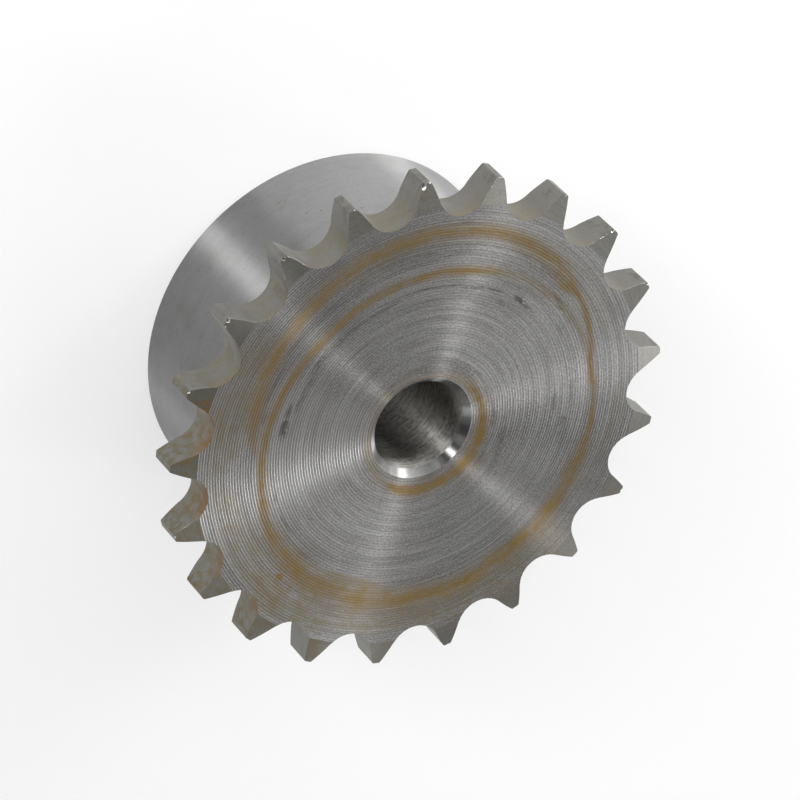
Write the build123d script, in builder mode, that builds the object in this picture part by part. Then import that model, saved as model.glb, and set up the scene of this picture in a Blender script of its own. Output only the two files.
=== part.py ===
"""Chain sprocket: a toothed plate and a plain hub turned and cut from one piece of steel."""

from build123d import *
from math import acos, degrees, hypot, pi, radians, sin, tan
import os

# Driving dimensions, in millimetres and degrees

# The roller chain and the form of the tooth gap
chain_pitch = 15.875
tooth_count = 21
roller_seat_radius = 5.55
roller_seat_angle = 127.5
flank_radius = 40.0
tooth_addendum = 2.45
tip_corner_radius = 0.4

# The toothed plate, with both sides of the teeth bevelled so that the chain finds its way on
tooth_width = 7.9
front_bevel_width = 5.7
front_bevel_angle = 10.0
back_bevel_width = 4.1
back_bevel_angle = 7.0

# The hub, which carries the plate on its top end and stands on its other end
overall_length = 45.0
hub_diameter = 80.0
hub_edge_chamfer = 0.5
hub_corner_radius = 0.8

# The plain bore for the shaft
bore_diameter = 20.0
bore_chamfer = 1.4

# Sizes that follow from them; the blank stands past the tooth tips, and cutting the teeth trims it
pitch_radius = chain_pitch / (2 * sin(pi / tooth_count))
tip_radius = pitch_radius + tooth_addendum
blank_radius = tip_radius + tooth_addendum
hub_radius = hub_diameter / 2
bore_radius = bore_diameter / 2
plate_back = overall_length - tooth_width
front_bevel_start = tip_radius - front_bevel_width
back_bevel_start = tip_radius - back_bevel_width
front_bevel_drop = (blank_radius - front_bevel_start) * tan(radians(front_bevel_angle))
back_bevel_drop = (blank_radius - back_bevel_start) * tan(radians(back_bevel_angle))


def bearing_from_flank_centre(centre_distance, radius):
    """Angle at the flank's centre, from the sprocket's axis round to the flank at that radius."""
    cosine = (centre_distance**2 + flank_radius**2 - radius**2) / (2 * centre_distance * flank_radius)
    return degrees(acos(cosine))


# One tooth gap, on the X axis: a round seat for the roller between two bulging flanks
with BuildSketch() as tooth_gap:
    with BuildLine() as half_gap:
        seat = CenterArc(
            (pitch_radius, 0), roller_seat_radius, 180 - roller_seat_angle / 2, roller_seat_angle / 2
        )
        flank_start = seat @ 0
        outward = (seat % 0) * -1
        flank_centre = flank_start + Vector(-outward.Y, outward.X) * flank_radius
        centre_distance = hypot(flank_centre.X, flank_centre.Y)
        flank_turn = bearing_from_flank_centre(
            centre_distance, blank_radius
        ) - bearing_from_flank_centre(centre_distance, hypot(flank_start.X, flank_start.Y))
        flank = JernArc(flank_start, outward, flank_radius, flank_turn)
        mouth = Line(flank @ 1, ((flank @ 1).X, 0))
        mirror(about=Plane.XZ)
    make_face()

with BuildPart() as sprocket:
    # The turned blank: bore, hub and plate, as a lathe cuts them round the axis
    with BuildSketch(Plane.XZ) as half_section:
        with BuildLine() as turned_outline:
            Polyline(
                (bore_radius + bore_chamfer, 0),
                (hub_radius - hub_edge_chamfer, 0),
                (hub_radius, hub_edge_chamfer),
                (hub_radius, plate_back),
                (back_bevel_start, plate_back),
                (blank_radius, plate_back + back_bevel_drop),
                (blank_radius, overall_length - front_bevel_drop),
                (front_bevel_start, overall_length),
                (bore_radius + bore_chamfer, overall_length),
                (bore_radius, overall_length - bore_chamfer),
                (bore_radius, bore_chamfer),
                close=True,
            )
        make_face()
        hub_corner = half_section.vertices().sort_by_distance(Vector(hub_radius, plate_back))[0]
        fillet(hub_corner, hub_corner_radius)
    revolve(axis=Axis.Z)

    # The teeth: what lies outside this outline is cut away from the plate
    with BuildSketch(Plane.XY.offset(overall_length / 2)) as tooth_outline:
        Circle(tip_radius)
        with PolarLocations(0, tooth_count):
            add(tooth_gap.sketch, mode=Mode.SUBTRACT)
        tip_corners = tooth_outline.vertices().filter_by(
            lambda corner: hypot(corner.X, corner.Y) > tip_radius - tip_corner_radius
        )
        tip_land = tooth_outline.edges().sort_by_distance((0, 0))[-1]
        fillet(tip_corners, min(tip_corner_radius, tip_land.length / 2))
    extrude(amount=overall_length, both=True, mode=Mode.INTERSECT)

sprocket.part.label = "sprocket"
os.makedirs("parts", exist_ok=True)
export_step(sprocket.part, "parts/sprocket.step")
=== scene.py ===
# %% [markdown]
# # A chain sprocket, turned and cut from one piece of steel
# The finished object is a toothed disc on a plain hub, with a bore right through both.
# The solid model gives its exact sizes and stays in the file for collision. This lesson
# dresses it: it turns the same shape again with the marks that a lathe leaves, cuts the
# teeth, nicks a few edges, and then builds the bare-steel finishes, the rust and oil
# stains, the camera and the light.

# %% Load the solid model
import bpy
from math import atan2, cos, degrees, hypot, pi, radians, sin, tan
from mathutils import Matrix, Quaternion, Vector


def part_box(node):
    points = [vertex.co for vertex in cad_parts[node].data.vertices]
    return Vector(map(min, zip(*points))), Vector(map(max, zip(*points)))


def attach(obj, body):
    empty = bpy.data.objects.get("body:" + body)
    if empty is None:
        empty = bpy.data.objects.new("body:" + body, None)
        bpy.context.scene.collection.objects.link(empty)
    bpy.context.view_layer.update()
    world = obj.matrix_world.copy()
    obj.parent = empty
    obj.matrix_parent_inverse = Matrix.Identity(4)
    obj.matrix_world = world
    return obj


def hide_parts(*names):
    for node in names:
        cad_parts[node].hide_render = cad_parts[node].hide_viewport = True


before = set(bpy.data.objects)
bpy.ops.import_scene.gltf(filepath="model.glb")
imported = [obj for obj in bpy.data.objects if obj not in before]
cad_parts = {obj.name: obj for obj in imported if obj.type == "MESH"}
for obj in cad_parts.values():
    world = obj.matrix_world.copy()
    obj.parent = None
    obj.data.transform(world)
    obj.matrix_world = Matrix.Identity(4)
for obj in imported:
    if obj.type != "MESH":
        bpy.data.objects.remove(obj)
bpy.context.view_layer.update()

MM = 0.001
solid_low, solid_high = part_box("sprocket")
overall_length = solid_high.z - solid_low.z
print(f"the solid stands {overall_length / MM:.1f} mm tall on its hub end")

# %% [markdown]
# ## Sizes
# These are the sizes that a drawing of the sprocket would give. Everything is in metres,
# so a length in millimetres is multiplied by MM. The last four belong to the lathe: how
# far the tool moved at each turn, how deep a furrow it left, that furrow's section as
# shares of its width and depth, and into how many flats a full turn is divided, which is
# a dozen for each tooth.

# %% The drawing's sizes
TEETH = 21
PITCH = 15.875 * MM
SEAT_RADIUS = 5.55 * MM
SEAT_ANGLE = radians(127.5)
FLANK_RADIUS = 40 * MM
ADDENDUM = 2.45 * MM
TIP_ROUNDING = 0.4 * MM
TOOTH_WIDTH = 7.9 * MM
FRONT_BEVEL_WIDTH = 5.7 * MM
FRONT_BEVEL_ANGLE = radians(10)
BACK_BEVEL_WIDTH = 4.1 * MM
BACK_BEVEL_ANGLE = radians(7)
HUB_RADIUS = 40 * MM
HUB_CHAMFER = 0.5 * MM
HUB_CORNER = 0.8 * MM
BORE_RADIUS = 10 * MM
BORE_CHAMFER = 1.4 * MM
FEED = 0.6 * MM
FEED_DEPTH = 0.05 * MM
TROUGH_SHAPE = [(0, 0), (0.22, 0.62), (0.54, 1), (0.82, 0.6)]
FLATS = 12 * TEETH

pitch_radius = PITCH / (2 * sin(pi / TEETH))
tip_radius = pitch_radius + ADDENDUM
plate_back = overall_length - TOOTH_WIDTH
print(f"pitch circle {2 * pitch_radius / MM:.2f} mm, tips {2 * tip_radius / MM:.2f} mm across")

# %% [markdown]
# ## The half section
# Anything that comes off a lathe is one outline spun round an axis. The outline here runs
# up the bore, out over the toothed face, round the rim and down the hub. The toothed face
# isn't flat: the tool was fed outwards 0.6 mm a turn, and its round nose left a ring of
# ridges and shallow troughs. They could be drawn with bump, but bump gives no shadow or
# outline and is lost in the mesh, so they are modelled. A trough is a shallow curve, and
# three corners between two ridges are enough for it when the shading is smooth. Its depth
# wanders a little from turn to turn, because no lathe is perfectly stiff.

# %% List the outline's corners
def feed_steps(inner, outer):
    """How many turns the facing tool takes between two radii, and how far it moves at each."""
    count = round((outer - inner) / FEED)
    return count, (outer - inner) / count

def feed_marks(inner, outer, height):
    """Corners of the ridges and troughs that the facing tool leaves between two radii."""
    count, step = feed_steps(inner, outer)
    corners = []
    for turn in range(count):
        ridge = inner + turn * step
        depth = FEED_DEPTH * (1 + 0.08 * sin(2.1 * turn) + 0.05 * sin(5.3 * turn))
        corners += [(ridge + along * step, height - deep * depth) for along, deep in TROUGH_SHAPE]
    corners.append((outer, height))
    return corners

def hub_corner(steps):
    """Corners of the small rounding where the hub meets the back of the plate."""
    centre = (HUB_RADIUS + HUB_CORNER, plate_back - HUB_CORNER)
    turn = [radians(90 + 90 * step / steps) for step in range(steps + 1)]
    return [(centre[0] + HUB_CORNER * cos(a), centre[1] + HUB_CORNER * sin(a)) for a in turn]

front_start = tip_radius - FRONT_BEVEL_WIDTH
back_start = tip_radius - BACK_BEVEL_WIDTH
mouth = BORE_RADIUS + BORE_CHAMFER
marks = feed_marks(mouth, front_start, overall_length)
outline = [(BORE_RADIUS, BORE_CHAMFER), (BORE_RADIUS, overall_length - BORE_CHAMFER)]
outline += marks
outline.append((tip_radius, overall_length - FRONT_BEVEL_WIDTH * tan(FRONT_BEVEL_ANGLE)))
outline.append((tip_radius, plate_back + BACK_BEVEL_WIDTH * tan(BACK_BEVEL_ANGLE)))
outline.append((back_start, plate_back))
outline += hub_corner(steps=8)
outline += [(HUB_RADIUS, HUB_CHAMFER), (HUB_RADIUS - HUB_CHAMFER, 0), (mouth, 0)]
print(f"the outline has {len(outline)} corners, {len(marks)} of them feed marks")

# %% [markdown]
# ## Turning the blank
# A vertex is extruded from corner to corner, as one draws the outline by hand, and the
# Spin tool turns it round the axis, like the lathe. Screw or a curve of revolution would
# do as well, but Spin leaves a plain mesh that the teeth can be cut from at once. A full
# turn leaves the last copy on top of the first, so the doubles are merged, and then the
# faces are turned outwards.

# %% Draw the outline and spin it
MERGE = 0.001 * MM

def start_vertex(name, place):
    """A new object in edit mode with one selected vertex: a small plane merged to its middle."""
    bpy.ops.object.select_all(action="DESELECT")
    bpy.ops.mesh.primitive_plane_add(size=MM, location=(0, 0, 0))
    piece = bpy.context.object
    piece.name = name
    bpy.ops.object.mode_set(mode="EDIT")
    bpy.ops.mesh.select_mode(type="VERT")
    bpy.ops.mesh.select_all(action="SELECT")
    bpy.ops.mesh.merge(type="CENTER")
    bpy.ops.transform.translate(value=place)
    return piece

def draw_to(step):
    """Extrudes the selected vertex or face by a step."""
    bpy.ops.mesh.extrude_region_move(TRANSFORM_OT_translate={"value": step})

def close_up():
    """Merges what lies on top of itself and turns every face outwards."""
    bpy.ops.mesh.select_all(action="SELECT")
    bpy.ops.mesh.remove_doubles(threshold=MERGE)
    bpy.ops.mesh.normals_make_consistent(inside=False)

body = start_vertex("machined_sprocket", (outline[0][0], 0, outline[0][1]))
for here, there in zip(outline, outline[1:] + outline[:1]):
    draw_to((there[0] - here[0], 0, there[1] - here[1]))
bpy.ops.mesh.select_all(action="SELECT")
bpy.ops.mesh.remove_doubles(threshold=MERGE)
bpy.ops.mesh.spin(steps=FLATS, angle=2 * pi, center=(0, 0, 0), axis=(0, 0, 1))
close_up()
bpy.ops.object.mode_set(mode="OBJECT")
print(f"the blank has {len(body.data.polygons)} faces")

# %% [markdown]
# ## The tooth cutter
# A sprocket's teeth are what is left between its gaps, so one gap is modelled, as a block
# of air. Its outline is a round seat for the chain's roller, then a long gentle curve up
# each flank, and last the small rounding of the tooth's tip. Each is an arc, and Spin
# draws an arc from a single vertex.

# %% Work out the centres of the arcs
def meeting(first, first_radius, second, second_radius):
    """The crossing of two circles that lies nearer to the gap, which is further along X."""
    apart = second - first
    distance = apart.length
    along = (first_radius ** 2 - second_radius ** 2 + distance ** 2) / (2 * distance)
    aside = (first_radius ** 2 - along ** 2) ** 0.5
    unit = apart / distance
    middle = first + unit * along
    side = Vector((-unit.y, unit.x)) * aside
    return max((middle + side, middle - side), key=lambda point: point.x)

def bearing(centre, point):
    """Direction of a point as seen from a centre, as an angle."""
    return atan2(point.y - centre.y, point.x - centre.x)

axis = Vector((0, 0))
seat_centre = Vector((pitch_radius, 0))
seat_end_turn = pi - SEAT_ANGLE / 2
seat_end_way = Vector((cos(seat_end_turn), sin(seat_end_turn)))
seat_end = seat_centre + SEAT_RADIUS * seat_end_way
flank_centre = seat_centre + (SEAT_RADIUS + FLANK_RADIUS) * seat_end_way
corner_centre = meeting(flank_centre, FLANK_RADIUS - TIP_ROUNDING, axis, tip_radius - TIP_ROUNDING)
flank_end = flank_centre + (corner_centre - flank_centre).normalized() * FLANK_RADIUS
corner_end = corner_centre.normalized() * tip_radius
flank_turn = bearing(flank_centre, flank_end) - bearing(flank_centre, seat_end)
corner_turn = bearing(corner_centre, corner_end) - bearing(corner_centre, flank_end)
print(f"flank turns {degrees(flank_turn):.1f} degrees, tip corner {degrees(corner_turn):.1f} degrees")

# %% Draw one side of the gap
def arc(centre, turn, steps):
    """Spins the selected vertex anticlockwise about an upright line; Spin itself goes clockwise."""
    bpy.ops.mesh.spin(steps=steps, angle=-turn, center=(centre.x, centre.y, 0), axis=(0, 0, 1))

def last_vertex_only(piece, place):
    """Leaves only the vertex nearest to a place selected."""
    bpy.ops.mesh.select_all(action="DESELECT")
    bpy.ops.object.mode_set(mode="OBJECT")
    nearest = min(piece.data.vertices, key=lambda v: (v.co.xy - place).length)
    nearest.select = True
    bpy.ops.object.mode_set(mode="EDIT")

PAST = 2 * MM
cutter = start_vertex("tooth_gap_cutter", (seat_end.x, seat_end.y, plate_back - PAST))
arc(seat_centre, SEAT_ANGLE / 2, steps=14)
last_vertex_only(cutter, seat_end)
arc(flank_centre, flank_turn, steps=8)
last_vertex_only(cutter, flank_end)
arc(corner_centre, corner_turn, steps=5)
last_vertex_only(cutter, corner_end)
draw_to(Vector((*corner_end.normalized() * PAST, 0)))
print(f"one side of the gap has {len(cutter.data.vertices)} vertices")

# %% [markdown]
# The other side is the same outline mirrored. Both are merged where they meet, the outline
# is filled and raised through the plate, and Spin, told to duplicate, sets the other twenty
# gaps round the axis. A mirrored face points the wrong way, so the normals are made
# consistent before the cutter is used.

# %% Mirror it, raise it and copy it round
bpy.ops.mesh.select_all(action="SELECT")
bpy.ops.mesh.duplicate()
bpy.ops.transform.resize(value=(1, -1, 1), center_override=(0, 0, 0))
bpy.ops.mesh.select_all(action="SELECT")
bpy.ops.mesh.remove_doubles(threshold=MERGE)
bpy.ops.mesh.edge_face_add()
draw_to((0, 0, TOOTH_WIDTH + 2 * PAST))
bpy.ops.mesh.select_all(action="SELECT")
bpy.ops.mesh.normals_make_consistent(inside=False)
share = 2 * pi / TEETH
bpy.ops.mesh.spin(steps=TEETH - 1, dupli=True, angle=2 * pi - share, center=(0, 0, 0), axis=(0, 0, 1))
bpy.ops.mesh.select_all(action="SELECT")
bpy.ops.mesh.normals_make_consistent(inside=False)
bpy.ops.object.mode_set(mode="OBJECT")
print(f"the cutter has {len(cutter.data.polygons)} faces")

# %% Cut the teeth
def cut_away(piece, tool):
    """Takes a tool's shape out of a piece, and the tool away."""
    bpy.ops.object.select_all(action="DESELECT")
    piece.select_set(True)
    bpy.context.view_layer.objects.active = piece
    cut = piece.modifiers.new("cut", "BOOLEAN")
    cut.operation = "DIFFERENCE"
    cut.object = tool
    cut.solver = "MANIFOLD"
    bpy.ops.object.modifier_apply(modifier=cut.name)
    bpy.data.objects.remove(tool)

cut_away(body, cutter)
print(f"the cut sprocket has {len(body.data.polygons)} faces")

# %% [markdown]
# ## Breaking the sharp edges
# A cutter leaves a tooth's edges sharp enough to cut a hand, so they are broken with a file
# or in a tumbler. The break is only a tenth of a millimetre wide, but it is the thin line
# of light round every tooth. The long edges beyond the feed marks get it, and those on the
# back: an edge is chosen when one of its faces is a side of the plate and the other a wall
# of a gap. How much of a face's direction is up or down tells the two apart: nearly all of
# it on a side, nearly none on a wall.

# %% Bevel the long edges
EDGE_BREAK = 0.11 * MM
SIDE_FROM = 0.9
WALL_TO = 0.1

def plain_edge(mesh, edge, sides):
    """Whether an edge runs between a side of the plate and a wall, clear of the feed marks."""
    ends = [mesh.vertices[index].co for index in edge.vertices]
    if min(end.z for end in ends) < plate_back - MERGE:
        return False
    on_front = min(end.z for end in ends) > overall_length - TOOTH_WIDTH / 2
    if on_front and min(hypot(end.x, end.y) for end in ends) < front_start - MERGE:
        return False
    flat, steep = sorted(sides, reverse=True)
    return flat > SIDE_FROM and steep < WALL_TO

def select_plain_edges(piece):
    """Selects a piece's plain edges, and says how many there are."""
    mesh = piece.data
    sides = {}
    for face in mesh.polygons:
        for key in face.edge_keys:
            sides.setdefault(key, []).append(abs(face.normal.z))
    bpy.ops.object.mode_set(mode="EDIT")
    bpy.ops.mesh.select_mode(type="EDGE")
    bpy.ops.mesh.select_all(action="DESELECT")
    bpy.ops.object.mode_set(mode="OBJECT")
    for edge in mesh.edges:
        edge.select = len(sides[edge.key]) == 2 and plain_edge(mesh, edge, sides[edge.key])
    return sum(edge.select for edge in mesh.edges)

chosen = select_plain_edges(body)
bpy.ops.object.mode_set(mode="EDIT")
bpy.ops.mesh.bevel(offset=EDGE_BREAK, segments=1, clamp_overlap=True)
bpy.ops.object.mode_set(mode="OBJECT")
print(f"{chosen} edges broken, and the sprocket has {len(body.data.polygons)} faces")

# %% [markdown]
# ## Nicks
# A sprocket that has lain in a bin with others has nicks where they knocked together,
# nearly all at the corners of its teeth. Each is modelled as the thing that made it, a
# small blunt lump pressed into the edge, and cut away like the gaps. A nick is a few
# tenths of a millimetre deep, and its fresh floor catches the light. The table names a
# tooth, counted from the X axis, the distance from the sprocket's axis, how far across the
# tooth the knock fell, from -1 at one edge to 1 at the other, and its size. A lump's lift
# and its squat shape are shares of that size.

# %% Knock the nicks in
NICKS = [
    (8, 55.7, 0.0, 0.65), (9, 55.7, -0.4, 0.75), (9, 55.4, 0.9, 0.35), (10, 55.7, -0.6, 0.50),
    (6, 55.3, 0.9, 1.10), (6, 55.8, -0.6, 0.45), (4, 55.8, -0.2, 0.55), (5, 53.8, 1.0, 0.28),
    (5, 54.9, 1.0, 0.25), (3, 52.5, 1.0, 0.26), (3, 53.2, 1.0, 0.42), (3, 53.9, 1.0, 0.24),
    (3, 55.4, 0.9, 0.65), (2, 55.7, 0.3, 0.30), (1, 55.6, -0.3, 0.35), (1, 54.6, 1.0, 0.22),
    (12, 55.7, -0.5, 0.35), (17, 55.7, 0.2, 0.30), (20, 55.6, 0.0, 0.35), (7, 55.7, -0.5, 0.30),
]
LUMP_LIFT = 0.4
LUMP_SHAPE = (1.0, 0.7, 0.8)

def front_height(radius):
    """Height of the toothed face at a distance from the axis, down the bevel past its start."""
    return overall_length - max(0, radius - front_start) * tan(FRONT_BEVEL_ANGLE)

def tooth_place(tooth, radius, across):
    """A point on the toothed face: a tooth, a distance from the axis, and how far across."""
    flank_point = meeting(flank_centre, FLANK_RADIUS, axis, min(radius, flank_end.length))
    half_tooth = share / 2 - bearing(axis, flank_point)
    turn = (tooth + 0.5) * share + across * half_tooth
    return turn, Vector((radius * cos(turn), radius * sin(turn), front_height(radius)))

def knock(tooth, radius, across, size):
    """One lump, squat and turned with the tooth, with its middle just above the edge."""
    turn, place = tooth_place(tooth, radius * MM, across)
    place.z += LUMP_LIFT * size * MM
    bpy.ops.mesh.primitive_ico_sphere_add(subdivisions=2, radius=size * MM, location=place)
    bpy.ops.transform.resize(value=LUMP_SHAPE)
    bpy.ops.transform.rotate(value=-turn, orient_axis="Z", center_override=place)
    bpy.ops.object.transform_apply(location=True, rotation=True, scale=True)
    return bpy.context.object, place

lumps = []
nick_places = []
for tooth, radius, across, size in NICKS:
    lump, place = knock(tooth, radius, across, size)
    lumps.append(lump)
    nick_places.append((place, size * MM))
bpy.ops.object.select_all(action="DESELECT")
for lump in lumps:
    lump.select_set(True)
bpy.context.view_layer.objects.active = lumps[0]
bpy.ops.object.join()
cut_away(body, lumps[0])
print(f"{len(NICKS)} nicks, and the sprocket has {len(body.data.polygons)} faces")

# %% [markdown]
# ## Smooth where it is round, sharp where the tools left an edge
# Shading is smooth only where two faces meet at less than 24 degrees. The steps of every
# arc here turn less than that, while ridges, nicks and tooth edges turn more, so they stay
# crisp. The back bevel turns only 7 degrees from the flat back, so its ring of edges is
# marked sharp. Weighted Normal then lets the large flat faces keep their own
# direction, so the small roundings beside them don't bend their light.

# %% Shade the body
SHARP_FROM = radians(24)
RING_SLACK = 10 * MERGE

bpy.ops.object.mode_set(mode="EDIT")
close_up()
bpy.ops.object.mode_set(mode="OBJECT")
body.data.materials.clear()
bpy.ops.object.shade_smooth_by_angle(angle=SHARP_FROM)

def on_back_ring(place):
    """Whether a point lies on the circle where the back bevel starts."""
    outwards = hypot(place.x, place.y) - back_start
    return abs(outwards) < RING_SLACK and abs(place.z - plate_back) < RING_SLACK

for edge in body.data.edges:
    if all(on_back_ring(body.data.vertices[index].co) for index in edge.vertices):
        edge.use_edge_sharp = True
even = body.modifiers.new("even shading", "WEIGHTED_NORMAL")
even.keep_sharp = True
bpy.ops.object.modifier_apply(modifier=even.name)
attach(body, "root")
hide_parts("sprocket")
print(f"{sum(edge.use_edge_sharp for edge in body.data.edges)} edges stay sharp")

# %% [markdown]
# ## Writing shader maths as formulas
# A pattern on metal is mostly arithmetic on the distance from the axis. The class below
# wraps one socket of a material, so that a sum or product of two wires adds the Math node
# for it. Every other kind of node comes from its one method, add.

# %% The wire
class Wire:
    """One socket in a material's nodes. Arithmetic on wires adds Math nodes."""

    def __init__(self, tree, socket=None):
        self.tree = tree
        self.socket = socket

    def add(self, kind, settings=None, sockets=None, output=0):
        """A new node: its settings first, then the values or wires of its sockets."""
        node = self.tree.nodes.new("ShaderNode" + kind)
        for name, value in (settings or {}).items():
            setattr(node, name, value)
        for name, value in (sockets or {}).items():
            if isinstance(value, Wire):
                self.tree.links.new(value.socket, node.inputs[name])
            else:
                node.inputs[name].default_value = value
        return Wire(self.tree, node.outputs[output])

    def math(self, operation, *values):
        """A Math node, with values or wires for its sockets in order."""
        return self.add("Math", {"operation": operation}, dict(enumerate(values)))

    def __add__(self, other):
        return self.math("ADD", self, other)

    def __radd__(self, other):
        return self.math("ADD", other, self)

    def __sub__(self, other):
        return self.math("SUBTRACT", self, other)

    def __rsub__(self, other):
        return self.math("SUBTRACT", other, self)

    def __mul__(self, other):
        return self.math("MULTIPLY", self, other)

    def __rmul__(self, other):
        return self.math("MULTIPLY", other, self)

    def __truediv__(self, other):
        return self.math("DIVIDE", self, other)

    def __neg__(self):
        return self.math("MULTIPLY", self, -1.0)

    def clamped(self):
        """The same value, held between nought and one."""
        return self.math("MINIMUM", self.math("MAXIMUM", self, 0.0), 1.0)

# %% [markdown]
# ## Measures that the finishes share
# Each finish starts from the same few measures, all in millimetres: where a point is, how
# far it is from the axis, and which way it lies. From them come the shapes that stains and
# tool marks have on a turned part: a band along a circle, a sector, a smudge drawn out
# along the turning, and noise that is stretched the same way.

# %% The finish
def colour(red, green, blue):
    """A colour as a paint programme gives it, 0 to 255, in the linear values that shaders use."""
    shares = [value / 255 for value in (red, green, blue)]
    return (*[v / 12.92 if v < 0.04045 else ((v + 0.055) / 1.055) ** 2.4 for v in shares], 1)

class Finish:
    """A new material with the measures and patterns that the sprocket's finishes share."""

    def __init__(self, name):
        self.material = bpy.data.materials.new(name)
        self.material.use_nodes = True
        self.tree = self.material.node_tree
        self.shader = self.tree.nodes["Principled BSDF"]
        self.start = Wire(self.tree)
        place = self.start.add("TexCoord", output="Object")
        self.place = self.start.add("VectorMath", {"operation": "SCALE"}, {0: place, "Scale": 1 / MM})
        axes = self.start.add("SeparateXYZ", sockets={0: self.place}).socket.node.outputs
        self.x, self.y, self.z = [Wire(self.tree, socket) for socket in axes]
        self.radius = self.start.math("SQRT", self.x * self.x + self.y * self.y)
        self.out_x = self.x / self.radius
        self.out_y = self.y / self.radius

    def noise(self, where, scale=1.0, detail=2.0, roughness=0.5):
        """Soft random values about a half, scale to the millimetre."""
        sockets = {"Vector": where, "Scale": scale, "Detail": detail, "Roughness": roughness}
        return self.start.add("TexNoise", sockets=sockets)

    def turned(self, around, across, position):
        """Places for a pattern drawn out along the turning, fine to the millimetre across it."""
        sockets = {0: self.out_x * around, 1: self.out_y * around, 2: position * across}
        return self.start.add("CombineXYZ", sockets=sockets)

    def span(self, value, low, high, bottom=0.0, top=1.0):
        """Moves a value smoothly from bottom to top as it goes from low to high."""
        return self.start.add("MapRange", {"interpolation_type": "SMOOTHSTEP"},
            {"Value": value, "From Min": low, "From Max": high, "To Min": bottom, "To Max": top})

    def bell(self, value, width):
        """One where a value is nought, falling smoothly to nothing two widths away."""
        off = value / width
        return self.start.math("EXPONENT", -(off * off))

    def sector(self, middle, half, soft=15):
        """One within a half-angle of a bearing, in degrees, falling off over a soft edge."""
        facing = self.out_x * cos(radians(middle)) + self.out_y * sin(radians(middle))
        return self.span(facing, cos(radians(half + soft)), cos(radians(half)))

    def band(self, centre, radius, width, wander=0.0):
        """A band along a circle that has its own centre, as a pot or a washer leaves."""
        off_x = self.x - centre[0]
        off_y = self.y - centre[1]
        reach = self.start.math("SQRT", off_x * off_x + off_y * off_y)
        return self.bell(reach - radius + wander, width)

    def smudge(self, turn, distance, along, across, ragged=0.0):
        """A soft oval mark at a bearing and distance, with its size along and across the turning."""
        way = (cos(radians(turn)), sin(radians(turn)))
        outwards = (self.x * way[0] + self.y * way[1] - distance) / across
        aside = (self.y * way[0] - self.x * way[1]) / along
        return self.span(outwards * outwards + aside * aside + ragged, 1.6, 0.3)

    def marks(self, table, ragged=0.0):
        """Many smudges together, each row of the table ending with the mark's weight."""
        total = 0.0
        for turn, distance, along, across, weight in table:
            total = total + self.smudge(turn, distance, along, across, ragged) * weight
        return total

    def blend(self, share, first, second):
        """A mix of two colours, which are the Mix node's sockets 6 and 7 and its output 2."""
        sockets = {"Factor": share, 6: first, 7: second}
        return self.start.add("Mix", {"data_type": "RGBA"}, sockets, 2)

    def bump(self, height, depth):
        """A relief, whose height goes from 0 to 1 over a depth in millimetres."""
        sockets = {"Height": height, "Strength": 1.0, "Distance": depth * MM}
        return self.start.add("Bump", sockets=sockets)

    def set(self, **sockets):
        """Gives the shader's sockets values or wires, with _ for a space in a socket's name."""
        for name, value in sockets.items():
            socket = self.shader.inputs[name.replace("_", " ")]
            if isinstance(value, Wire):
                self.tree.links.new(value.socket, socket)
            else:
                socket.default_value = value

STEEL = colour(134, 134, 132)
DULL_STEEL = colour(106, 105, 103)
BRIGHT_STEEL = colour(164, 164, 163)
RUST = colour(120, 94, 33)
RUSTY_BROWN = colour(116, 101, 66)
OILY_GREY = colour(76, 72, 69)
print("steel reflects", [round(value, 3) for value in STEEL[:3]])

# %% [markdown]
# ## Bare steel after the lathe
# Turned steel is full of fine rings that all run the same way, too fine to model. They
# spread a reflection across the rings and keep it narrow along them, which draws the
# bright bow ties on the face and the bright stripes down the hub. Principled calls this
# Anisotropic, and its own default direction already runs round the Z axis, so nothing is
# linked there: the two numbers are the same all over and are set on their own sockets.
# What the function adds is the unevenness: rings a little lighter and darker, a mottle,
# and specks where the surface tore. It is told how fine the rings and the mottle are, to
# the millimetre, and how much of the steel is plain. The two patterns stay with the
# finish, because stains and bumps use them again.

# %% A function for turned steel
def turned_steel(finish, position, rings, mottle, plain, steel=STEEL):
    """Sets the shine of turned metal, keeps its ring and cloud patterns, and gives its tone."""
    finish.set(Anisotropic=1.0, Anisotropic_Rotation=0.25)
    finish.ring = finish.noise(finish.turned(1.6, rings, position), detail=3.0, roughness=0.6)
    finish.cloud = finish.noise(finish.place, mottle, detail=4.0, roughness=0.6)
    grain = finish.noise(finish.place, 2.4, detail=3.0, roughness=0.7)
    speck = finish.noise(finish.turned(45.0, 1.6, position), detail=2.0)
    uneven = finish.span(0.35 * finish.ring + 0.65 * grain, 0.38, 0.62)
    tone = finish.blend(uneven, DULL_STEEL, BRIGHT_STEEL)
    tone = finish.blend(plain, tone, steel)
    tone = finish.blend(finish.span(finish.cloud, 0.50, 0.74, 0.0, 0.35), tone, DULL_STEEL)
    return finish.blend(finish.span(speck, 0.69, 0.76, 0.0, 0.6), tone, OILY_GREY)
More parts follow.
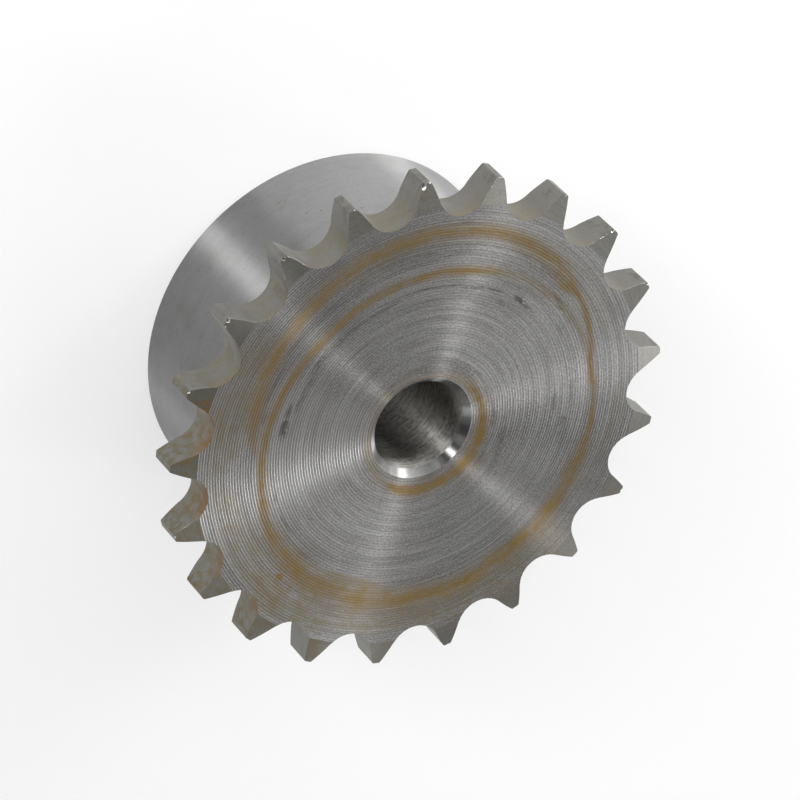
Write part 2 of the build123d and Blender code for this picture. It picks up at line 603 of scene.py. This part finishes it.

# %% [markdown]
# ## The toothed face
# Each trough of the feed marks is darker than the ridges beside it, and no two turns of
# the tool are quite alike. The troughs are darker towards the teeth and on one side, and
# in the middle of that side the colour is lighter: a painted highlight, one arm of a bow tie.
# A turn is counted from the distance to the axis, so the darkening falls into the modelled
# troughs, and it spreads about a quarter of a turn to each side of their deepest point.

# %% Feed marks on the face
TROUGH_SPREAD = 0.27
faced = Finish("faced_steel")
tone = turned_steel(faced, faced.radius, rings=1.7, mottle=0.12, plain=0.3)
feed_count, feed_step = feed_steps(mouth, front_start)
turns = (faced.radius - mouth / MM) / (feed_step / MM)
groove = faced.start.math("FLOOR", turns)
deepest = max(TROUGH_SHAPE, key=lambda corner: corner[1])[0]
trough = faced.bell(turns - groove - deepest, TROUGH_SPREAD)
each = faced.noise(faced.turned(1.3, 1.7, groove), detail=2.0)
tone = faced.blend(faced.span(each, 0.35, 0.65, 0.15, 0.0), tone, DULL_STEEL)
# The troughs are made darker on this side and towards the teeth.
darker_side = 0.55 + 0.65 * faced.sector(195, 40, 30)
# Painted highlight: this sector of the face is blended towards bright steel, as one arm of a bow tie.
painted_highlight_side = faced.sector(198, 16, 16)
tone = faced.blend(0.35 * painted_highlight_side, tone, BRIGHT_STEEL)
trough_darkening = trough * faced.span(each, 0.30, 0.70, 0.75, 0.5) * darker_side
trough_darkening = trough_darkening * faced.span(faced.radius, 22, 44, 0.7, 1.0)
tone = faced.blend(trough_darkening, tone, OILY_GREY)
print(f"{feed_count} turns of the tool, {feed_step / MM:.3f} mm each")

# %% [markdown]
# The face carries the marks of storage. Two rusty rings, one off centre from the other,
# are where round things stood on it, and a third lies round the bore. Each is a band on a
# circle with its own centre, wide or strong in some sectors and weak in others, because
# damp doesn't spread evenly.

# %% Rusty rings on the face
wander = 2.0 * (faced.cloud - 0.5)
wide_below = faced.sector(295, 55, 20)
thin_right = faced.sector(5, 30, 25)
faint = faced.sector(56, 22, 12)
inner_ring = faced.band((2.65, -1.85), 37.8, 1.0 + 1.2 * wide_below - 0.35 * thin_right, wander)
inner_ring = inner_ring * (1.0 - 0.65 * faint)
outer_ring = faced.band((-1.8, 5.9), 38.2, 0.7 + 0.9 * faced.sector(125, 55, 20), wander)
outer_ring = 0.9 * outer_ring * faced.sector(110, 80, 12)
bore_ring = faced.band((1.4, -1.0), 13.1, 1.0 + 0.4 * faced.sector(325, 35, 25), 0.5 * wander)
bore_ring = bore_ring * (0.4 + 0.9 * faced.sector(338, 66, 24))
rings = inner_ring + outer_ring + bore_ring + 0.5 * faced.smudge(61, 40.2, 2.6, 0.8)
print("three rusty rings, and a patch between the two large ones")

# %% [markdown]
# A brown haze spreads from the rings towards the teeth. Old oil and fingers left darker,
# greyer marks. Each row below is a soft oval at a bearing and distance from the axis, in
# degrees and millimetres, with its size along the turning and across it, and its weight.

# %% Haze and oil on the face
HAZE_MARKS = [
    (181, 44.0, 15.0, 5.5, 0.60), (222, 43.5, 14.0, 4.0, 0.45), (252, 44.0, 12.0, 5.0, 0.75),
    (284, 43.0, 14.0, 5.0, 0.55), (318, 45.0, 20.0, 6.0, 0.50), (60, 43.0, 14.0, 3.0, 0.20),
    (352, 43.0, 12.0, 3.0, 0.15), (128, 43.0, 14.0, 3.5, 0.35), (335, 18.2, 6.0, 1.6, 0.35),
    (12, 45.5, 7.0, 2.0, 0.25), (263, 36.4, 16.0, 1.7, 0.80), (261, 46.0, 2.6, 0.8, 0.50),
    (140, 13.0, 8.0, 1.2, 0.30),
]
OIL_MARKS = [
    (188, 31.9, 2.4, 1.1, 0.80), (182, 32.1, 3.0, 0.6, 0.70), (176, 30.5, 2.6, 0.7, 0.50),
    (167, 30.8, 3.4, 0.7, 0.45), (160, 31.4, 2.4, 0.7, 0.75), (152, 31.0, 3.0, 0.6, 0.45),
    (142, 31.2, 4.0, 0.5, 0.50), (131, 31.0, 4.5, 0.6, 0.45), (120, 31.8, 6.0, 0.4, 0.50),
    (106, 32.0, 5.0, 0.35, 0.55), (92, 31.8, 3.0, 0.4, 0.50), (84, 32.3, 3.5, 0.3, 0.60),
    (70.5, 32.6, 2.0, 0.7, 0.85), (66, 32.3, 2.6, 0.4, 0.60), (77.5, 30.3, 1.3, 0.7, 0.35),
    (58, 37.8, 2.0, 0.5, 0.65), (55.5, 37.0, 1.2, 0.5, 0.50), (48, 34.6, 1.6, 0.5, 0.30),
    (10, 33.2, 1.4, 1.0, 0.65), (19, 30.6, 2.2, 0.6, 0.45), (22, 34.3, 2.6, 0.35, 0.45),
    (4, 33.5, 1.6, 0.6, 0.35), (26, 32.6, 1.8, 0.6, 0.25), (215, 33.7, 1.2, 0.35, 0.45),
    (228, 33.8, 3.0, 0.35, 0.50), (232, 29.0, 1.5, 0.4, 0.30), (244, 35.0, 2.4, 0.35, 0.45),
    (184, 37.3, 1.4, 0.7, 0.45), (174, 38.0, 5.0, 0.4, 0.50), (158, 39.0, 3.0, 0.4, 0.35),
    (101, 46.3, 1.5, 0.4, 0.75), (112, 39.6, 14.0, 1.9, 0.30), (140, 38.4, 9.0, 1.6, 0.30),
    (355, 20.2, 2.4, 1.0, 0.45), (3, 19.6, 2.0, 1.0, 0.45), (346, 21.0, 1.8, 0.8, 0.30),
    (16, 16.5, 2.6, 0.6, 0.45), (28, 16.0, 2.4, 0.5, 0.30), (344, 17.2, 1.6, 0.6, 0.35),
    (242, 24.0, 1.6, 0.4, 0.30), (288, 21.5, 3.0, 0.5, 0.20), (306, 24.5, 3.0, 0.6, 0.20),
    (77, 36.6, 12.0, 3.0, 0.25), (80, 30.4, 11.0, 2.6, 0.20), (298, 36.0, 12.0, 2.6, 0.15),
    (72, 40.4, 7.0, 1.1, 0.45), (74, 14.6, 5.0, 1.6, 0.45), (102, 13.2, 4.0, 1.1, 0.40),
]
haze = faced.marks(HAZE_MARKS)
torn = faced.noise(faced.turned(26.0, 1.8, faced.radius), detail=4.0, roughness=0.7)
oil = faced.marks(OIL_MARKS, ragged=1.6 * (torn - 0.5))
oil = (oil * faced.span(torn, 0.34, 0.60)).clamped()
print(f"{len(HAZE_MARKS)} patches of haze and {len(OIL_MARKS)} oil marks")

# %% [markdown]
# Noise breaks the rings and the haze up, so that none has a clean outline, and one fleck
# of rust stands alone. Rust starts where damp is held, so the troughs have a little more
# of it than the ridges, and it is dull: where it lies, the surface is rougher and less
# metallic.
#
# A tool that is fed one way leaves furrows that lean, so that the two arms of a bow tie
# aren't alike. Three corners to a trough are too few to show it. A bump that rises evenly
# towards the teeth stands in for it: it tips every reflection a little towards the axis,
# by LEAN millimetres to the millimetre, and leaves the mesh as it is.

# %% The face put together
LEAN = 0.04
ragged = faced.noise(faced.turned(14.0, 0.9, faced.radius), detail=4.0, roughness=0.65)
patchy = faced.noise(faced.place, 0.3, detail=4.0, roughness=0.65)
held = 0.7 + 0.3 * trough
fleck = faced.smudge(242, 41.5, 0.9, 0.7)
rust = rings * faced.span(ragged, 0.25, 0.60, 0.6, 1.1) * faced.span(patchy, 0.35, 0.58, 0.7, 1.1)
rust = (rust * held + 0.9 * fleck).clamped()
brown = haze * faced.span(ragged, 0.30, 0.65, 0.3, 1.0) * faced.span(patchy, 0.38, 0.62, 0.45, 1.5)
brown = (brown * held).clamped()
skin = faced.blend(brown * 0.8, tone, RUSTY_BROWN)
skin = faced.blend(oil, skin, OILY_GREY)
skin = faced.blend(rust * 0.9, skin, RUST)
covered = (rust + 0.6 * brown + 0.4 * oil).clamped()
faced.set(Base_Color=skin, Metallic=1 - 0.6 * covered)
faced.set(Roughness=0.33 + 0.15 * covered + 0.03 * (each - 0.5))
faced.set(Normal=faced.bump(faced.radius * LEAN, 1.0))
print(f"the face is finished, leaning {LEAN} mm to the millimetre")

# %% [markdown]
# ## The bevel and the back
# The teeth's bevel was turned in a lighter cut, so it is smoother. The haze reaches it in
# some sectors, and on one tooth it has turned to rust.

# %% The bevel
BEVEL_STEEL = colour(108, 107, 97)
BEVEL_RUST = colour(124, 86, 40)
bevelled = Finish("bevelled_teeth")
tone = turned_steel(bevelled, bevelled.radius, rings=1.6, mottle=0.2, plain=0.5)
tone = bevelled.blend(0.6, tone, BEVEL_STEEL)
blotch = bevelled.noise(bevelled.place, 0.55, detail=4.0, roughness=0.6)
stained = (bevelled.smudge(184, 51.5, 4.0, 2.5) * 0.9 + bevelled.smudge(195, 51.0, 4.0, 2.5) * 0.7
    + bevelled.smudge(112, 53.5, 1.5, 1.5) * 0.6 + bevelled.sector(300, 50, 20) * 0.2
    + bevelled.sector(235, 35, 15) * 0.3 + bevelled.sector(205, 20, 15) * 0.3)
stained = (stained * bevelled.span(blotch, 0.40, 0.60, 0.15, 1.2)).clamped()
skin = bevelled.blend(stained * 0.8, tone, RUSTY_BROWN)
rusted = bevelled.smudge(184, 51.5, 3.5, 2.2) * bevelled.span(blotch, 0.42, 0.56)
skin = bevelled.blend(rusted * 0.8, skin, BEVEL_RUST)
bevelled.set(Base_Color=skin, Metallic=1 - 0.5 * stained, Roughness=0.40 + 0.1 * stained)
bevelled.set(Normal=bevelled.bump(bevelled.ring, 0.01))
print("the bevel is finished")

# %% [markdown]
# The back of the plate and the end of the hub were faced the same way as the front, with a
# finer feed. Its marks are left to the shading: a zigzag on the distance from the axis,
# half a feed up and half a feed down.

# %% The back and the hub's end
BACK_FEED = 0.4 * MM
half_feed = BACK_FEED / 2 / MM
backed = Finish("faced_back")
tone = turned_steel(backed, backed.radius, rings=1.6, mottle=0.1, plain=0.5)
zigzag = backed.start.math("PINGPONG", backed.radius, half_feed) / half_feed
aged = backed.span(backed.cloud, 0.5, 0.75) * backed.span(backed.ring, 0.35, 0.65, 0.4, 1.0)
skin = backed.blend(aged * 0.5, tone, RUSTY_BROWN)
backed.set(Base_Color=skin, Metallic=1 - 0.4 * aged, Roughness=0.33 + 0.15 * aged)
backed.set(Normal=backed.bump(zigzag + 0.6 * backed.ring, 0.008))
print("the back is finished")

# %% [markdown]
# ## The hub
# The hub was turned last and finest, and nothing stood on it, so it is the brightest and
# cleanest surface: close rings down its length and a few rubbed, greyer patches.

# %% The turned hub
HUB_STEEL = colour(134, 134, 134)
hub = Finish("turned_hub")
tone = turned_steel(hub, hub.z, rings=2.2, mottle=0.09, plain=0.85, steel=HUB_STEEL)
rubbed = hub.noise(hub.turned(5.0, 0.14, hub.z), detail=4.0, roughness=0.6)
skin = hub.blend(hub.span(rubbed, 0.5, 0.72, 0.0, 0.25), tone, DULL_STEEL)
hub.set(Base_Color=skin, Metallic=1.0)
hub.set(Roughness=0.33 + 0.03 * (hub.ring - 0.5) + 0.03 * (rubbed - 0.5))
print("the hub is finished")

# %% [markdown]
# ## Cut surfaces
# The walls of the gaps were milled, with marks that run round the gap, and they have no
# bow tie, because the cutter crossed them at changing angles. Handling and damp have
# tinted them: straw yellow down in the gap, oily grey near the tips and in specks. On the
# side that stood in the wet they are brown, with rust just below the toothed face.

# %% The walls of the gaps
WALL_DARK = colour(115, 115, 111)
WALL_LIGHT = colour(125, 125, 121)
WALL_PLAIN = colour(130, 128, 121)
STRAW = colour(130, 114, 82)
WALL_RUST = colour(112, 80, 36)
RUST_DROP = 0.285 * MM
cut = Finish("milled_gaps")
scallop = cut.noise(cut.turned(30.0, 2.6, cut.z), detail=3.0, roughness=0.6)
patch = cut.noise(cut.place, 0.22, detail=4.0, roughness=0.6)
grain = cut.noise(cut.place, 2.4, detail=3.0, roughness=0.6)
blotch = cut.noise(cut.place, 0.55, detail=4.0, roughness=0.6)
tone = cut.blend(cut.span(0.5 * scallop + 0.5 * grain, 0.36, 0.64), WALL_DARK, WALL_LIGHT)
tone = cut.blend(0.35, tone, WALL_PLAIN)
deep = cut.span(cut.radius, 52.5, 48.5)
straw = deep * cut.span(patch, 0.40, 0.62)
below = (overall_length - RUST_DROP) / MM - cut.z
wet_side = cut.sector(218, 34, 12)
near_edge = cut.bell(below + 2.4 * (patch - 0.5), 0.8 + 1.3 * wet_side)
damp = 0.25 * cut.sector(150, 60, 30) + wet_side * cut.span(patch, 0.42, 0.58, 0.5, 1.2)
rusted = near_edge * deep * damp.clamped() * cut.span(blotch, 0.3, 0.6, 0.7, 1.0)
skin = cut.blend(straw * 0.32, tone, STRAW)
handled = cut.span(cut.radius, 51.0, 55.0) * cut.span(patch, 0.60, 0.42)
skin = cut.blend(handled * cut.span(blotch, 0.40, 0.62) * 0.45, skin, OILY_GREY)
dirt = cut.noise(cut.place, 1.3, detail=4.0, roughness=0.7)
skin = cut.blend(cut.span(dirt, 0.60, 0.72) * 0.45, skin, OILY_GREY)
skin = cut.blend(cut.span(blotch, 0.42, 0.66) * wet_side * 0.7, skin, RUSTY_BROWN)
skin = cut.blend(rusted * 0.9, skin, WALL_RUST)
cut.set(Base_Color=skin, Metallic=1 - 0.5 * rusted)
cut.set(Roughness=0.44 + 0.12 * straw + 0.08 * (grain - 0.5))
cut.set(Normal=cut.bump(0.6 * scallop + 0.4 * grain, 0.012))
print("the gap walls are finished")

# %% [markdown]
# ## The bore
# The bore is as the drill left it, dark and scored. Its mouth was cut last, with a
# countersink, and shines.

# %% The bore and its mouths
BORE_DARK = colour(124, 122, 118)
BORE_LIGHT = colour(172, 170, 165)
MOUTH_STEEL = colour(118, 118, 117)
bore = Finish("drilled_bore")
score = bore.noise(bore.turned(2.5, 2.2, bore.z), detail=4.0, roughness=0.65)
tear = bore.noise(bore.turned(12.0, 1.0, bore.z), detail=3.0)
skin = bore.blend(bore.span(0.6 * score + 0.4 * tear, 0.36, 0.62), BORE_DARK, BORE_LIGHT)
bore.set(Base_Color=skin, Metallic=1.0, Roughness=0.58 + 0.1 * (tear - 0.5))
bore.set(Anisotropic=0.92, Anisotropic_Rotation=0.25, Normal=bore.bump(score, 0.02))

countersunk = Finish("countersunk_mouth")
tone = turned_steel(countersunk, countersunk.radius, rings=3.0, mottle=0.4, plain=0.8, steel=MOUTH_STEEL)
countersunk.set(Base_Color=tone, Metallic=1.0, Roughness=0.30)
print("the bore and its mouths are finished")

# %% [markdown]
# ## Fresh metal
# The nicks and the broken edges are younger than the rest, so they are bright, slightly
# rough, and brown again only in patches.

# %% Fresh metal
FRESH_DARK = colour(170, 168, 163)
FRESH_LIGHT = colour(214, 213, 210)
fresh = Finish("fresh_metal")
grit = fresh.noise(fresh.place, 3.0, detail=3.0)
skin = fresh.blend(fresh.span(grit, 0.4, 0.6), FRESH_DARK, FRESH_LIGHT)
browned = fresh.span(fresh.noise(fresh.place, 0.8), 0.46, 0.58, 0.0, 0.7)
skin = fresh.blend(browned, skin, RUSTY_BROWN)
fresh.set(Base_Color=skin, Metallic=1.0, Roughness=0.34)
fresh.set(Normal=fresh.bump(grit, 0.05))
print("the fresh metal is finished")

# %% [markdown]
# ## Which face gets which finish
# The body is one mesh, so each finish is a material slot, and a face's place and direction
# say which it belongs to. A nick's floor is told by its direction: it faces the middle of
# the lump that made it, within that lump's reach. In the bore, a mouth is told from the
# wall by its slope.

# %% Give every face its finish
LUMP_REACH = 1.05
FACES_LUMP = 0.5
MOUTH_SLOPE = 0.3
FINISHES = [faced, bevelled, backed, hub, cut, bore, countersunk, fresh]
FACED, BEVELLED, BACKED, HUB, CUT, BORE, MOUTH, FRESH = range(len(FINISHES))
for finish in FINISHES:
    body.data.materials.append(finish.material)

def in_a_nick(face):
    """Whether a face is the floor of a nick."""
    for place, size in nick_places:
        away = place - face.center
        if away.length < LUMP_REACH * size and away.dot(face.normal) > FACES_LUMP * away.length:
            return True
    return False

def finish_of(face):
    """Which finish a face has, by its place and the way that it faces."""
    radius = hypot(face.center.x, face.center.y)
    flat = abs(face.normal.z)
    if radius < mouth:
        return MOUTH if flat > MOUTH_SLOPE else BORE
    if flat > SIDE_FROM:
        if face.center.z < plate_back + TOOTH_WIDTH / 2:
            return BACKED
        return FACED if radius < front_start else BEVELLED
    if radius < HUB_RADIUS + HUB_CORNER and face.center.z < plate_back:
        return HUB
    if flat < WALL_TO and not in_a_nick(face):
        return CUT
    return FRESH

counts = [0] * len(FINISHES)
for face in body.data.polygons:
    face.material_index = finish_of(face)
    counts[face.material_index] += 1
print("faces of each finish:", counts)

# %% [markdown]
# ## The camera
# The view is from the left of the bore and well above it, with a long lens from about a
# metre away, so that the hub shows behind the plate and the disc is hardly distorted. The
# camera is rolled, because the sprocket was looked down on from no side in particular. A
# direction, turned into a rotation with -Z along it, aims the camera, and a turn about its
# own axis rolls it.

# %% Place the camera
CAMERA_PLACE = Vector((-0.60672, 0.35456, 0.84517))
CAMERA_TARGET = Vector((-0.0077, 0.00548, 0.045))
CAMERA_ROLL = radians(135.5015)
LENS = 238.17
camera = bpy.data.objects.new("camera", bpy.data.cameras.new("camera"))
camera.location = CAMERA_PLACE
camera.rotation_mode = "QUATERNION"
aim = (CAMERA_TARGET - CAMERA_PLACE).to_track_quat("-Z", "Y")
camera.rotation_quaternion = aim @ Quaternion((0, 0, 1), CAMERA_ROLL)
camera.data.lens = LENS
bpy.context.scene.collection.objects.link(camera)
bpy.context.scene.camera = camera
print(f"the camera is {(CAMERA_TARGET - CAMERA_PLACE).length:.2f} m from the sprocket")

# %% [markdown]
# ## The table and the room
# The sprocket stands on a round white table in a room that is white up to the horizon and
# dim above it. Metal shows what is round it, so the dim part matters as much as the lamps:
# it is what the dark streaks of the face reflect. The table is a disc whose rim fades out,
# so that no edge shows against the room, and it is matt, so that it takes only a soft
# shadow. More light would whiten it, but would bleach the steel too. Light Path does it
# instead: where the eye or a reflection meets the table, half of what it sees is plain
# white, like paper, and half is the matt table with its shadow.

# %% Set the table
TABLE_RADIUS = 1.0
FADE_FROM = 0.55 * TABLE_RADIUS
FADE_TO = 0.95 * TABLE_RADIUS
TABLE_WHITE = (0.96, 0.96, 0.96, 1)
PAPER_SHARE = 0.5
bpy.ops.object.select_all(action="DESELECT")
bpy.ops.mesh.primitive_circle_add(vertices=96, radius=TABLE_RADIUS, fill_type="NGON", location=(0, 0, 0))
table = bpy.context.object
table.name = "table"
white = Finish("white_table")
fade = white.span(white.radius, FADE_FROM / MM, FADE_TO / MM, 1.0, 0.0)
white.set(Base_Color=TABLE_WHITE, Roughness=1.0, Specular_IOR_Level=0.0)
ray = white.start.add("LightPath").socket.node.outputs
seen = Wire(white.tree, ray["Is Camera Ray"]) + Wire(white.tree, ray["Is Glossy Ray"])
seen = (seen + Wire(white.tree, ray["Is Transmission Ray"])).clamped()
paper = white.start.add("Emission", sockets={"Color": (1, 1, 1, 1), "Strength": 1.0})
clear = white.start.add("BsdfTransparent")
matt = Wire(white.tree, white.shader.outputs["BSDF"])
top = white.start.add("MixShader", sockets={0: PAPER_SHARE * seen, 1: matt, 2: paper})
top = white.start.add("MixShader", sockets={0: fade, 1: clear, 2: top})
white.tree.links.new(top.socket, white.tree.nodes["Material Output"].inputs["Surface"])
table.data.materials.append(white.material)
print(f"a table {2 * TABLE_RADIUS:.0f} m across")

# %% Set the room
ROOM_WHITE = 0.9
ROOM_DIM = 0.15
WHITE_UP_TO = radians(2)
DIM_FROM = radians(7)
room = bpy.data.worlds.new("room")
room.use_nodes = True
bpy.context.scene.world = room
sky = Wire(room.node_tree)
upwards = sky.add("SeparateXYZ", sockets={0: sky.add("TexCoord", output="Generated")}, output="Z")
level = sky.add("MapRange", {"interpolation_type": "SMOOTHSTEP"}, {
    "Value": upwards, "From Min": sin(WHITE_UP_TO), "From Max": sin(DIM_FROM),
    "To Min": ROOM_WHITE, "To Max": ROOM_DIM})
room.node_tree.links.new(level.socket, room.node_tree.nodes["Background"].inputs["Strength"])
room.node_tree.nodes["Background"].inputs["Color"].default_value = (1, 1, 1, 1)
print(f"the room is dim from {degrees(DIM_FROM):.0f} degrees above the horizon")

# %% [markdown]
# ## The lamps
# Each lamp is a soft box: a glowing rectangle that faces the sprocket from 1.6 m away.
# Its bearing sets which way a bow tie points, and its width how wide the streak is that it
# draws. A row of low boxes stands nearly all round, brightest at a bearing of 56, which
# gives the hub its broad light side. The low and middle boxes at 158 draw the hub's one
# bright stripe. On the face, the narrow boxes, low at 307 and 354 and high at 158, draw
# thin streaks, and the wide high ones light it more evenly. Each is named after its row
# and its bearing. Its brightness is that of its surface, so a wider box lights more.

# %% Hang the lamps
LAMP_DISTANCE = 1.6
LAMPS = {   # bearing and elevation in degrees, width and height in metres, brightness
    "low_008": (8, 10, 0.44, 0.50, 1.79),
    "low_024": (24, 10, 0.44, 0.50, 4.05),
    "low_040": (40, 10, 0.44, 0.50, 7.14),
    "low_056": (56, 10, 0.44, 0.50, 24.1),
    "low_072": (72, 10, 0.44, 0.50, 10.8),
    "low_088": (88, 10, 0.44, 0.50, 10.2),
    "low_104": (104, 10, 0.44, 0.50, 8),
    "low_120": (120, 10, 0.44, 0.50, 6.27),
    "low_158": (158, 10, 0.30, 0.50, 11.4),
    "low_168": (168, 10, 0.22, 0.50, 0.28),
    "low_224": (224, 10, 0.44, 0.50, 1.5),
    "low_240": (240, 10, 0.44, 0.50, 5.02),
    "low_256": (256, 10, 0.44, 0.50, 1.21),
    "low_272": (272, 10, 0.44, 0.50, 0.627),
    "low_307": (307, 10, 0.12, 0.50, 8.2),
    "low_336": (336, 10, 0.44, 0.50, 2.08),
    "low_352": (352, 10, 0.44, 0.50, 4.83),
    "low_354": (353.5, 10, 0.20, 0.50, 13.5),
    "middle_000": (0, 27, 0.60, 0.35, 0.521),
    "middle_056": (56, 27, 0.40, 0.35, 0.84),
    "middle_158": (158, 27, 0.30, 0.35, 18),
    "high_050": (50, 45, 0.40, 0.60, 1.44),
    "high_125": (125, 45, 0.50, 0.60, 1.38),
    "high_158": (158, 45, 0.16, 0.60, 13.5),
    "high_190": (190, 45, 0.40, 0.60, 1.38),
    "high_290": (290, 45, 0.50, 0.60, 0.174),
    "high_328": (328, 45, 0.90, 0.60, 2.03),
    "top_150": (150, 70, 0.60, 0.60, 0.145),
    "top_330": (330, 70, 0.60, 0.60, 0.328),
}

def soft_box(name, turn, elevation, width, tall, brightness):
    """A rectangle of light that faces the sprocket's middle."""
    data = bpy.data.lights.new(name, "AREA")
    data.shape = "RECTANGLE"
    data.size = width
    data.size_y = tall
    data.energy = brightness * width * tall * pi
    lamp = bpy.data.objects.new(name, data)
    level = cos(radians(elevation))
    way = Vector((level * cos(radians(turn)), level * sin(radians(turn)), sin(radians(elevation))))
    lamp.location = LAMP_DISTANCE * way
    lamp.rotation_mode = "QUATERNION"
    lamp.rotation_quaternion = way.to_track_quat("Z", "Y")
    bpy.context.scene.collection.objects.link(lamp)

for name, numbers in LAMPS.items():
    soft_box(name, *numbers)
print(f"{len(LAMPS)} lamps")

# %% [markdown]
# ## The view transform
# The Standard view shows each colour as it is written.

# %% Set the view transform
bpy.context.scene.view_settings.view_transform = "Standard"
bpy.context.view_layer.update()
